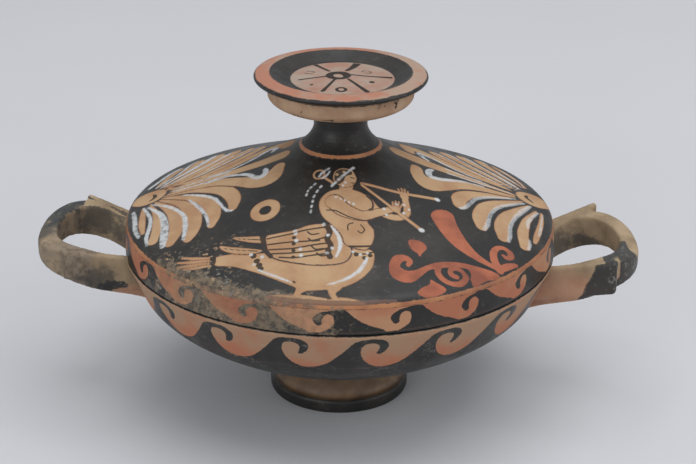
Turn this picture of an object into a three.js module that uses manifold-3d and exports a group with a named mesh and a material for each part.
// A covered dish of fired clay: a deep bowl on a ring foot with two ribbon handles, and a domed lid with a
// stemmed disc knob. Millimetres, +Z up. The origin is the centre of the foot's resting plane, and the two
// handles lie along X.
import * as THREE from "three";
import { mergeVertices } from "three/addons/utils/BufferGeometryUtils.js";
import Module from "manifold-3d";

// Facets
const SEGMENTS_AROUND = 56;
const STEPS_PER_CURVE = 5;
const STEPS_PER_BOWL_CURVE = 8;
const STEPS_PER_DOME_CURVE = 3;
const STEPS_PER_LOOP_CURVE = 6;
const STEPS_ACROSS_LOOP = 3;
const SPUR_ROUNDING_STEPS = 2;
const MERGE_DISTANCE = 1e-4;

// Ring foot
const FOOT_RESTING_RADIUS = 28.7;
const FOOT_RESTING_INNER_RADIUS = 22.5;
const FOOT_BAND_RADIUS = 29.6;
const FOOT_BAND_LOWER_HEIGHT = 1.2;
const FOOT_BAND_UPPER_HEIGHT = 4.6;
const FOOT_BAND_TOP_RADIUS = 28.2;
const FOOT_BAND_TOP_HEIGHT = 6;
const FOOT_NECK_RADIUS = 24.2;
const FOOT_NECK_HEIGHT = 11.5;
const FOOT_RECESS_DEPTH = 11.5;
const FOOT_RECESS_TOP_RADIUS = 16;

// Bowl. The upper wall, the lip and the flange follow the rim's radius and the ledge's height.
const BOWL_START_RADIUS = 26;
const BOWL_START_HEIGHT = 15.6;
const BOWL_RIM_RADIUS = 90;
const BOWL_LEDGE_HEIGHT = 66.6;
const BOWL_LIP_INSET = 0.4;
const BOWL_LIP_DROP = 2.2;
const BOWL_TURN_INSET = 5.6;
const BOWL_TURN_DROP = 13.8;
const BOWL_UPPER_PULL_INSET = 9.8;
const BOWL_UPPER_PULL_DROP = 23;
const BOWL_LOWER_PULL_INSET = 24;
const BOWL_LOWER_PULL_HEIGHT = 35;
const BOWL_LIP_RADIUS = BOWL_RIM_RADIUS - BOWL_LIP_INSET;
const BOWL_LIP_HEIGHT = BOWL_LEDGE_HEIGHT - BOWL_LIP_DROP;
const BOWL_TURN_RADIUS = BOWL_RIM_RADIUS - BOWL_TURN_INSET;
const BOWL_TURN_HEIGHT = BOWL_LEDGE_HEIGHT - BOWL_TURN_DROP;
const BOWL_UPPER_PULL_RADIUS = BOWL_RIM_RADIUS - BOWL_UPPER_PULL_INSET;
const BOWL_UPPER_PULL_HEIGHT = BOWL_LEDGE_HEIGHT - BOWL_UPPER_PULL_DROP;
const BOWL_LOWER_PULL_RADIUS = BOWL_RIM_RADIUS - BOWL_LOWER_PULL_INSET;
const BOWL_WALL = 5;
const BOWL_FLOOR_THICKNESS = 7.1;
const BOWL_FLOOR_HEIGHT = FOOT_RECESS_DEPTH + BOWL_FLOOR_THICKNESS;
const LEDGE_WIDTH = 5.3;
const FLANGE_OUTER_RADIUS = BOWL_RIM_RADIUS - LEDGE_WIDTH;
const FLANGE_WALL = 3.3;
const FLANGE_HEIGHT = 5.8;
const FLANGE_TOP_HEIGHT = BOWL_LEDGE_HEIGHT + FLANGE_HEIGHT;
const FLANGE_TOP_ROUNDING = 1;

// Lid. Its radii follow the bowl's rim, its lower edge the ledge, and all above that the top of the flange.
const SEAT_CLEARANCE = 0.3;
const FLANGE_CLEARANCE = 0.8;
const LID_RIM_INSET = 0.1;
const LID_SHOULDER_INSET = 0.6;
const LID_CORNER_INSET = 1;
const LID_DOME_LOWER_INSET = 3.9;
const LID_DOME_PULL_INSET = 39.9;
const LID_RIM_RADIUS = BOWL_RIM_RADIUS - LID_RIM_INSET;
const LID_SHOULDER_RADIUS = LID_RIM_RADIUS - LID_SHOULDER_INSET;
const LID_CORNER_RADIUS = LID_RIM_RADIUS - LID_CORNER_INSET;
const LID_DOME_LOWER_RADIUS = LID_RIM_RADIUS - LID_DOME_LOWER_INSET;
const LID_DOME_PULL_RADIUS = LID_RIM_RADIUS - LID_DOME_PULL_INSET;
const LID_DOME_UPPER_RADIUS = 17.6;
const LID_ROOM_OVER_FLANGE = 2.6;
const LID_SHOULDER_RISE = 2.6;
const LID_CORNER_RISE = 2.4;
const LID_DOME_LOWER_RISE = 1.3;
const LID_DOME_PULL_RISE = 13.3;
const LID_DOME_RISE = 28.5;
const LID_CROWN_THICKNESS = 3.4;
const LID_WALL = 4.5;
const LID_INNER_CORNER_HEIGHT = FLANGE_TOP_HEIGHT + LID_ROOM_OVER_FLANGE;
const LID_SHOULDER_HEIGHT = LID_INNER_CORNER_HEIGHT + LID_SHOULDER_RISE;
const LID_CORNER_HEIGHT = LID_SHOULDER_HEIGHT + LID_CORNER_RISE;
const LID_DOME_LOWER_HEIGHT = LID_CORNER_HEIGHT + LID_DOME_LOWER_RISE;
const LID_DOME_PULL_HEIGHT = LID_DOME_LOWER_HEIGHT + LID_DOME_PULL_RISE;
const LID_DOME_UPPER_HEIGHT = LID_DOME_LOWER_HEIGHT + LID_DOME_RISE;
const LID_CEILING_HEIGHT = LID_DOME_UPPER_HEIGHT - LID_CROWN_THICKNESS;

// Stem and disc knob. The stem rises from the dome's top, the dish from the stem, and the disc from the dish.
const STEM_BASE_RADIUS = 16.1;
const STEM_PULL_RADIUS = 11.4;
const STEM_RADIUS = 11.1;
const STEM_BASE_RISE = 1.6;
const STEM_PULL_RISE = 4.2;
const STEM_LOWER_RISE = 8.3;
const STEM_UPPER_RISE = 12.2;
const STEM_BASE_HEIGHT = LID_DOME_UPPER_HEIGHT + STEM_BASE_RISE;
const STEM_PULL_HEIGHT = STEM_BASE_HEIGHT + STEM_PULL_RISE;
const STEM_LOWER_HEIGHT = STEM_BASE_HEIGHT + STEM_LOWER_RISE;
const STEM_UPPER_HEIGHT = STEM_BASE_HEIGHT + STEM_UPPER_RISE;
const DISH_SPREAD_RADIUS = 23;
const DISH_PULL_RADIUS = 29.8;
const DISH_RADIUS = 30;
const DISH_SPREAD_RISE = 4.5;
const DISH_PULL_RISE = 6.4;
const DISH_TURN_RISE = 9.2;
const DISH_TOP_RISE = 13.4;
const DISH_SPREAD_HEIGHT = STEM_UPPER_HEIGHT + DISH_SPREAD_RISE;
const DISH_PULL_HEIGHT = STEM_UPPER_HEIGHT + DISH_PULL_RISE;
const DISH_TURN_HEIGHT = STEM_UPPER_HEIGHT + DISH_TURN_RISE;
const DISH_TOP_HEIGHT = STEM_UPPER_HEIGHT + DISH_TOP_RISE;
const KNOB_RADIUS = 35.6;
const KNOB_UNDERSIDE_INSET = 0.7;
const KNOB_TOP_EDGE_INSET = 0.6;
const KNOB_RECESS_INSET = 6.6;
const KNOB_FLOOR_INSET = 13.8;
const KNOB_FLOOR_CENTRE_RADIUS = 5;
const KNOB_UNDERSIDE_RISE = 2.1;
const KNOB_EDGE_RISE = 3;
const KNOB_TOP_EDGE_RISE = 4.1;
const KNOB_TOP_RISE = 5;
const KNOB_FLOOR_DEPTH = 3.4;
const KNOB_FLOOR_CENTRE_DEPTH = 2;
const KNOB_DIMPLE_DEPTH = 2.6;
const KNOB_UNDERSIDE_RADIUS = KNOB_RADIUS - KNOB_UNDERSIDE_INSET;
const KNOB_TOP_EDGE_RADIUS = KNOB_RADIUS - KNOB_TOP_EDGE_INSET;
const KNOB_RECESS_RADIUS = KNOB_RADIUS - KNOB_RECESS_INSET;
const KNOB_FLOOR_RADIUS = KNOB_RADIUS - KNOB_FLOOR_INSET;
const KNOB_UNDERSIDE_HEIGHT = DISH_TOP_HEIGHT + KNOB_UNDERSIDE_RISE;
const KNOB_EDGE_HEIGHT = DISH_TOP_HEIGHT + KNOB_EDGE_RISE;
const KNOB_TOP_EDGE_HEIGHT = DISH_TOP_HEIGHT + KNOB_TOP_EDGE_RISE;
const KNOB_TOP_HEIGHT = DISH_TOP_HEIGHT + KNOB_TOP_RISE;
const KNOB_FLOOR_HEIGHT = KNOB_TOP_HEIGHT - KNOB_FLOOR_DEPTH;
const KNOB_FLOOR_CENTRE_HEIGHT = KNOB_TOP_HEIGHT - KNOB_FLOOR_CENTRE_DEPTH;
const KNOB_DIMPLE_HEIGHT = KNOB_TOP_HEIGHT - KNOB_DIMPLE_DEPTH;

// Loop handles: flat ribbons standing on edge. Their reach is measured from the bowl's rim, and every width
// from the plane between the legs.
const LOOP_ROOT_INSET = 14;
const LOOP_ROOT_PULL_INSET = 4;
const LOOP_WIDEST_PULL_REACH = 5;
const LOOP_WIDEST_REACH = 13;
const LOOP_OUTER_END_REACH = 36.5;
const LOOP_INNER_END_REACH = 28.8;
const LOOP_ROOT_X = BOWL_RIM_RADIUS - LOOP_ROOT_INSET;
const LOOP_ROOT_PULL_X = BOWL_RIM_RADIUS - LOOP_ROOT_PULL_INSET;
const LOOP_WIDEST_PULL_X = BOWL_RIM_RADIUS + LOOP_WIDEST_PULL_REACH;
const LOOP_WIDEST_X = BOWL_RIM_RADIUS + LOOP_WIDEST_REACH;
const LOOP_OUTER_END_X = BOWL_RIM_RADIUS + LOOP_OUTER_END_REACH;
const LOOP_INNER_END_X = BOWL_RIM_RADIUS + LOOP_INNER_END_REACH;
const LOOP_OUTER_ROOT = 18;
const LOOP_OUTER_ROOT_PULL = 18.6;
const LOOP_OUTER_HALF_WIDTH = 28.6;
const LOOP_INNER_ROOT = 11.6;
const LOOP_INNER_ROOT_PULL = 12.2;
const LOOP_INNER_HALF_WIDTH = 22.1;
const LOOP_OUTER_SQUARENESS = 0.7;
const LOOP_INNER_SQUARENESS = 0.58;
const LOOP_EDGE_ROUNDING = 2;
const LOOP_BOTTOM_START = 44;
const LOOP_BOTTOM_MIDDLE = 56.4;
const LOOP_BOTTOM_END = 63;
const LOOP_TOP_START = 52.6;
const LOOP_TOP_MIDDLE = 79;
const LOOP_TOP_END = 69.2;

// Flat spurs outside the legs of each loop
const SPUR_ROOT_INSET = 10;
const SPUR_REACH = 21;
const RIGHT_FRONT_SPUR_TIP_REACH = 23.3;
const RIGHT_BACK_SPUR_TIP_REACH = 22;
const LEFT_FRONT_SPUR_TIP_REACH = 22;
const LEFT_BACK_SPUR_TIP_REACH = 19.3;
const SPUR_ROOT_X = BOWL_RIM_RADIUS - SPUR_ROOT_INSET;
const SPUR_REACH_X = BOWL_RIM_RADIUS + SPUR_REACH;
const RIGHT_FRONT_SPUR_TIP_X = BOWL_RIM_RADIUS + RIGHT_FRONT_SPUR_TIP_REACH;
const RIGHT_BACK_SPUR_TIP_X = BOWL_RIM_RADIUS + RIGHT_BACK_SPUR_TIP_REACH;
const LEFT_FRONT_SPUR_TIP_X = BOWL_RIM_RADIUS + LEFT_FRONT_SPUR_TIP_REACH;
const LEFT_BACK_SPUR_TIP_X = BOWL_RIM_RADIUS + LEFT_BACK_SPUR_TIP_REACH;
const SPUR_ROOT_OUTER = 21.2;
const SPUR_REACH_OUTER = 32.6;
const SPUR_THICKNESS = 3.6;
const SPUR_EDGE_ROUNDING = 0.7;
const SPUR_BOTTOM_ROOT = 51;
const RIGHT_SPUR_BOTTOM_TIP = 59;
const LEFT_SPUR_BOTTOM_TIP = 60.8;
const SPUR_TOP_ROOT = 64.8;
const SPUR_TOP_TIP = 73.5;

// The two handles were set by hand: the one on +X sits lower and closer in than the one on -X.
const RIGHT_HANDLE_LIFT = -1.5;
const RIGHT_HANDLE_SHIFT = -1;
const LEFT_HANDLE_LIFT = 1.5;
const LEFT_HANDLE_SHIFT = 0;
const HANDLE_TO_LID_CLEARANCE = 0.5;

const wasm = await Module();
wasm.setup();

// A closed mesh as a solid for joining and cutting.
function solidFrom(geometry) {
  const bare = geometry.clone();
  bare.deleteAttribute("normal");
  bare.deleteAttribute("uv");
  const merged = mergeVertices(bare, MERGE_DISTANCE);
  return new wasm.Manifold(
    new wasm.Mesh({
      numProp: 3,
      vertProperties: merged.attributes.position.array,
      triVerts: new Uint32Array(merged.index.array),
    }),
  );
}

// The mesh of a solid, with flat faces.
function geometryFrom(solid) {
  const mesh = solid.getMesh();
  const geometry = new THREE.BufferGeometry();
  geometry.setAttribute(
    "position",
    new THREE.BufferAttribute(new Float32Array(mesh.vertProperties), 3),
  );
  geometry.setIndex(new THREE.BufferAttribute(new Uint32Array(mesh.triVerts), 1));
  const faceted = geometry.toNonIndexed();
  faceted.computeVertexNormals();
  return faceted;
}

// A profile of points (radius, height) turned round the vertical axis.
function turned(profile) {
  return new THREE.LatheGeometry(profile, SEGMENTS_AROUND).rotateX(Math.PI / 2);
}

// The points of a path, without repeats.
function pointsOf(path) {
  return path
    .getPoints(STEPS_PER_CURVE)
    .filter((point, i, all) => i === 0 || point.distanceTo(all[i - 1]) > MERGE_DISTANCE);
}

// The same run of points moved sideways by one thickness, to the left of their direction.
function offsetPoints(points, thickness) {
  return points.map((point, i) => {
    const before = points[Math.max(i - 1, 0)];
    const after = points[Math.min(i + 1, points.length - 1)];
    const along = after.clone().sub(before).normalize();
    return new THREE.Vector2(point.x - along.y * thickness, point.y + along.x * thickness);
  });
}

// Outside of the bowl, from the foot up to where the wall turns upright
function bowlOutside() {
  const path = new THREE.Path();
  path.moveTo(BOWL_START_RADIUS, BOWL_START_HEIGHT);
  path.bezierCurveTo(
    BOWL_LOWER_PULL_RADIUS,
    BOWL_LOWER_PULL_HEIGHT,
    BOWL_UPPER_PULL_RADIUS,
    BOWL_UPPER_PULL_HEIGHT,
    BOWL_TURN_RADIUS,
    BOWL_TURN_HEIGHT,
  );
  return path.getPoints(STEPS_PER_BOWL_CURVE);
}

// Ring foot, from the centre of its underside out to the start of the bowl
function footOutside() {
  const path = new THREE.Path();
  path.moveTo(0, FOOT_RECESS_DEPTH);
  path.lineTo(FOOT_RECESS_TOP_RADIUS, FOOT_RECESS_DEPTH);
  path.lineTo(FOOT_RESTING_INNER_RADIUS, 0);
  path.lineTo(FOOT_RESTING_RADIUS, 0);
  path.lineTo(FOOT_BAND_RADIUS, FOOT_BAND_LOWER_HEIGHT);
  path.lineTo(FOOT_BAND_RADIUS, FOOT_BAND_UPPER_HEIGHT);
  path.lineTo(FOOT_BAND_TOP_RADIUS, FOOT_BAND_TOP_HEIGHT);
  path.bezierCurveTo(
    FOOT_NECK_RADIUS,
    FOOT_BAND_TOP_HEIGHT,
    FOOT_NECK_RADIUS,
    FOOT_NECK_HEIGHT,
    BOWL_START_RADIUS,
    BOWL_START_HEIGHT,
  );
  return pointsOf(path);
}

// Rim of the bowl: the ledge that the lid rests on and the flange inside it
function bowlRim() {
  const path = new THREE.Path();
  path.moveTo(BOWL_LIP_RADIUS, BOWL_LIP_HEIGHT);
  path.lineTo(BOWL_RIM_RADIUS, BOWL_LEDGE_HEIGHT);
  path.lineTo(FLANGE_OUTER_RADIUS, BOWL_LEDGE_HEIGHT);
  path.lineTo(FLANGE_OUTER_RADIUS, FLANGE_TOP_HEIGHT - FLANGE_TOP_ROUNDING);
  path.lineTo(FLANGE_OUTER_RADIUS - FLANGE_TOP_ROUNDING, FLANGE_TOP_HEIGHT);
  path.lineTo(FLANGE_OUTER_RADIUS - FLANGE_WALL + FLANGE_TOP_ROUNDING, FLANGE_TOP_HEIGHT);
  path.lineTo(FLANGE_OUTER_RADIUS - FLANGE_WALL, FLANGE_TOP_HEIGHT - FLANGE_TOP_ROUNDING);
  path.lineTo(FLANGE_OUTER_RADIUS - FLANGE_WALL, BOWL_LIP_HEIGHT - BOWL_WALL);
  return pointsOf(path);
}

const bowlWallInside = offsetPoints(bowlOutside(), BOWL_WALL).reverse();
const bowlFloor = new THREE.Vector2(0, BOWL_FLOOR_HEIGHT);
const bowlProfile = [...footOutside(), ...bowlOutside().slice(1), ...bowlRim(), ...bowlWallInside, bowlFloor];

// The hollow of the bowl and the room for the lid, which the handles must stay out of
const hollow = solidFrom(
  turned([
    bowlFloor,
    ...[...bowlWallInside].reverse(),
    new THREE.Vector2(FLANGE_OUTER_RADIUS - FLANGE_WALL, BOWL_LIP_HEIGHT - BOWL_WALL),
    new THREE.Vector2(FLANGE_OUTER_RADIUS - FLANGE_WALL, BOWL_LEDGE_HEIGHT),
    new THREE.Vector2(BOWL_RIM_RADIUS + HANDLE_TO_LID_CLEARANCE, BOWL_LEDGE_HEIGHT),
    new THREE.Vector2(BOWL_RIM_RADIUS + HANDLE_TO_LID_CLEARANCE, KNOB_TOP_HEIGHT),
    new THREE.Vector2(0, KNOB_TOP_HEIGHT),
  ]),
);

// One side of a loop seen from above, as four curves from the root on one leg round to the root on the other
function loopSide({ root, rootPull, halfWidth, endX, squareness }) {
  const cornerX = LOOP_WIDEST_X + (endX - LOOP_WIDEST_X) * squareness;
  const cornerY = halfWidth * squareness;
  const path = new THREE.Path();
  path.moveTo(LOOP_ROOT_X, root);
  path.bezierCurveTo(LOOP_ROOT_PULL_X, rootPull, LOOP_WIDEST_PULL_X, halfWidth, LOOP_WIDEST_X, halfWidth);
  path.bezierCurveTo(cornerX, halfWidth, endX, cornerY, endX, 0);
  path.bezierCurveTo(endX, -cornerY, cornerX, -halfWidth, LOOP_WIDEST_X, -halfWidth);
  path.bezierCurveTo(LOOP_WIDEST_PULL_X, -halfWidth, LOOP_ROOT_PULL_X, -rootPull, LOOP_ROOT_X, -root);
  return path.getPoints(STEPS_PER_LOOP_CURVE);
}

const outerSide = loopSide({
  root: LOOP_OUTER_ROOT,
  rootPull: LOOP_OUTER_ROOT_PULL,
  halfWidth: LOOP_OUTER_HALF_WIDTH,
  endX: LOOP_OUTER_END_X,
  squareness: LOOP_OUTER_SQUARENESS,
});
const innerSide = loopSide({
  root: LOOP_INNER_ROOT,
  rootPull: LOOP_INNER_ROOT_PULL,
  halfWidth: LOOP_INNER_HALF_WIDTH,
  endX: LOOP_INNER_END_X,
  squareness: LOOP_INNER_SQUARENESS,
});

// Where a point of the band's cross-section lies between two edges, -1 to 1, once the edges are rounded.
// `step` counts across this direction and `otherStep` across the other one.
function roundedShare(step, otherStep, halfSize) {
  const isEdge = step === 0 || step === STEPS_ACROSS_LOOP;
  const isCorner = isEdge && (otherStep === 0 || otherStep === STEPS_ACROSS_LOOP);
  const sign = step * 2 < STEPS_ACROSS_LOOP ? -1 : 1;
  const share = LOOP_EDGE_ROUNDING / halfSize;
  if (isCorner) return sign * (1 - share * (1 - Math.SQRT1_2));
  return isEdge ? sign : sign * (1 - share);
}

// The band of a loop: a long box bent along the loop, its edges rounded, from `bottomAt(x)` to `topAt(x)`
function loopBand(bottomAt, topAt) {
  const stations = outerSide.length - 1;
  const across = STEPS_ACROSS_LOOP;
  const geometry = new THREE.BoxGeometry(1, 1, 1, stations, across, across);
  const position = geometry.attributes.position;
  for (let i = 0; i < position.count; i++) {
    const station = Math.round((position.getX(i) + 0.5) * stations);
    const widthStep = Math.round((position.getY(i) + 0.5) * across);
    const heightStep = Math.round((position.getZ(i) + 0.5) * across);
    const outer = outerSide[station];
    const inner = innerSide[station];
    const widthShare = roundedShare(widthStep, heightStep, outer.distanceTo(inner) / 2);
    const plan = inner.clone().lerp(outer, (1 + widthShare) / 2);
    const bottom = bottomAt(plan.x);
    const top = topAt(plan.x);
    const heightShare = roundedShare(heightStep, widthStep, (top - bottom) / 2);
    position.setXYZ(i, plan.x, plan.y, bottom + ((top - bottom) * (1 + heightShare)) / 2);
  }
  return geometry;
}

// A spur's plan given height: a slab from `bottomAt(x)` to `topAt(x)` with its edges rounded
function spurSlab(plan, bottomAt, topAt) {
  const geometry = new THREE.ExtrudeGeometry(plan, {
    depth: 1,
    bevelEnabled: true,
    bevelThickness: SPUR_EDGE_ROUNDING,
    bevelSize: SPUR_EDGE_ROUNDING,
    bevelSegments: SPUR_ROUNDING_STEPS,
    steps: 1,
  });
  const position = geometry.attributes.position;
  for (let i = 0; i < position.count; i++) {
    const x = position.getX(i);
    const z = position.getZ(i);
    const isUpper = z > 0.5;
    const height = isUpper ? topAt(x) - SPUR_EDGE_ROUNDING + (z - 1) : bottomAt(x) + SPUR_EDGE_ROUNDING + z;
    position.setZ(i, height);
  }
  return geometry;
}

// Height along a loop: a curve through a start at the root, a pull at the middle and an end at the far side
function along(start, middle, end) {
  return (x) => {
    const t = (x - LOOP_ROOT_X) / (LOOP_OUTER_END_X - LOOP_ROOT_X);
    return start * (1 - t) * (1 - t) + 2 * middle * t * (1 - t) + end * t * t;
  };
}

// Height along a spur: a straight run from its root towards its tip
function straight(root, tip) {
  return (x) => root + ((tip - root) * (x - SPUR_ROOT_X)) / (SPUR_REACH_X - SPUR_ROOT_X);
}

// A spur seen from above: on the +Y side of the loop for side 1, on the -Y side for side -1
function spurPlan(side, tipX) {
  const direction = new THREE.Vector2(SPUR_REACH_X - SPUR_ROOT_X, SPUR_REACH_OUTER - SPUR_ROOT_OUTER).normalize();
  const inward = new THREE.Vector2(direction.y, -direction.x);
  const rounding = SPUR_EDGE_ROUNDING;
  const near = inward.clone().multiplyScalar(rounding);
  const far = inward.clone().multiplyScalar(SPUR_THICKNESS - rounding);
  const root = new THREE.Vector2(SPUR_ROOT_X, SPUR_ROOT_OUTER);
  const length = (tipX - SPUR_ROOT_X) / direction.x - rounding;
  const tip = root.clone().addScaledVector(direction, length);
  const corners = [root.clone().add(near), root.clone().add(far), tip.clone().add(far), tip.clone().add(near)];
  return new THREE.Shape(corners.map((corner) => new THREE.Vector2(corner.x, corner.y * side)));
}

// A loop with its two spurs, reaching out along +X. The tips are those of the spurs on +Y and on -Y.
function handle({ tipPlusY, tipMinusY, spurBottomTip }) {
  const band = loopBand(
    along(LOOP_BOTTOM_START, LOOP_BOTTOM_MIDDLE, LOOP_BOTTOM_END),
    along(LOOP_TOP_START, LOOP_TOP_MIDDLE, LOOP_TOP_END),
  );
  const bottom = straight(SPUR_BOTTOM_ROOT, spurBottomTip);
  const top = straight(SPUR_TOP_ROOT, SPUR_TOP_TIP);
  const plusY = spurSlab(spurPlan(1, tipPlusY), bottom, top);
  const minusY = spurSlab(spurPlan(-1, tipMinusY), bottom, top);
  return [band, plusY, minusY];
}

// The bowl with both handles, fired as one
const rightHandle = {
  turn: 0,
  shift: RIGHT_HANDLE_SHIFT,
  lift: RIGHT_HANDLE_LIFT,
  tipPlusY: RIGHT_BACK_SPUR_TIP_X,
  tipMinusY: RIGHT_FRONT_SPUR_TIP_X,
  spurBottomTip: RIGHT_SPUR_BOTTOM_TIP,
};
const leftHandle = {
  turn: Math.PI,
  shift: LEFT_HANDLE_SHIFT,
  lift: LEFT_HANDLE_LIFT,
  tipPlusY: LEFT_FRONT_SPUR_TIP_X,
  tipMinusY: LEFT_BACK_SPUR_TIP_X,
  spurBottomTip: LEFT_SPUR_BOTTOM_TIP,
};
let bowlSolid = solidFrom(turned(bowlProfile));
for (const place of [rightHandle, leftHandle]) {
  for (const member of handle(place)) {
    const placed = member.translate(place.shift, 0, place.lift).rotateZ(place.turn);
    bowlSolid = bowlSolid.add(solidFrom(placed).subtract(hollow));
  }
}

// Outside of the lid's dome, from the stem down to the shoulder
function domeOutside() {
  const path = new THREE.Path();
  path.moveTo(LID_DOME_LOWER_RADIUS, LID_DOME_LOWER_HEIGHT);
  path.quadraticCurveTo(
    LID_DOME_PULL_RADIUS,
    LID_DOME_PULL_HEIGHT,
    LID_DOME_UPPER_RADIUS,
    LID_DOME_UPPER_HEIGHT,
  );
  return path.getPoints(STEPS_PER_DOME_CURVE);
}

// Rim and shoulder of the lid, from the inner lower edge round to the foot of the dome
function lidRim() {
  const lowerEdge = BOWL_LEDGE_HEIGHT + SEAT_CLEARANCE;
  const path = new THREE.Path();
  path.moveTo(FLANGE_OUTER_RADIUS + FLANGE_CLEARANCE, LID_INNER_CORNER_HEIGHT);
  path.lineTo(FLANGE_OUTER_RADIUS + FLANGE_CLEARANCE, lowerEdge);
  path.lineTo(LID_RIM_RADIUS, lowerEdge);
  path.lineTo(LID_SHOULDER_RADIUS, LID_SHOULDER_HEIGHT);
  path.quadraticCurveTo(
    LID_CORNER_RADIUS,
    LID_CORNER_HEIGHT,
    LID_DOME_LOWER_RADIUS,
    LID_DOME_LOWER_HEIGHT,
  );
  return pointsOf(path);
}

// Stem and knob, from the foot of the stem up and over to the centre of the knob
function knobOutside() {
  const path = new THREE.Path();
  path.moveTo(STEM_BASE_RADIUS, STEM_BASE_HEIGHT);
  path.quadraticCurveTo(STEM_PULL_RADIUS, STEM_PULL_HEIGHT, STEM_RADIUS, STEM_LOWER_HEIGHT);
  path.lineTo(STEM_RADIUS, STEM_UPPER_HEIGHT);
  path.lineTo(DISH_SPREAD_RADIUS, DISH_SPREAD_HEIGHT);
  path.quadraticCurveTo(DISH_PULL_RADIUS, DISH_PULL_HEIGHT, DISH_RADIUS, DISH_TURN_HEIGHT);
  path.lineTo(DISH_RADIUS, DISH_TOP_HEIGHT);
  path.lineTo(KNOB_UNDERSIDE_RADIUS, KNOB_UNDERSIDE_HEIGHT);
  path.lineTo(KNOB_RADIUS, KNOB_EDGE_HEIGHT);
  path.lineTo(KNOB_TOP_EDGE_RADIUS, KNOB_TOP_EDGE_HEIGHT);
  path.lineTo(KNOB_RECESS_RADIUS, KNOB_TOP_HEIGHT);
  path.lineTo(KNOB_FLOOR_RADIUS, KNOB_FLOOR_HEIGHT);
  path.lineTo(KNOB_FLOOR_CENTRE_RADIUS, KNOB_FLOOR_CENTRE_HEIGHT);
  path.lineTo(0, KNOB_DIMPLE_HEIGHT);
  return pointsOf(path);
}

const domeInside = offsetPoints(domeOutside(), LID_WALL).reverse();
const lidCeiling = new THREE.Vector2(0, LID_CEILING_HEIGHT);
const lidProfile = [lidCeiling, ...domeInside, ...lidRim(), ...domeOutside().slice(1), ...knobOutside()];
const lidSolid = solidFrom(turned(lidProfile));

// One named mesh for each separate piece
function piece(name, solid, colour) {
  const material = new THREE.MeshStandardMaterial({ color: colour, roughness: 0.45, metalness: 0 });
  const mesh = new THREE.Mesh(geometryFrom(solid), material);
  mesh.name = name;
  return mesh;
}

const dish = new THREE.Group();
dish.name = "lekane";
dish.add(piece("bowl", bowlSolid, 0x2c2a28));
dish.add(piece("lid", lidSolid, 0x9a6a48));

export default dish;
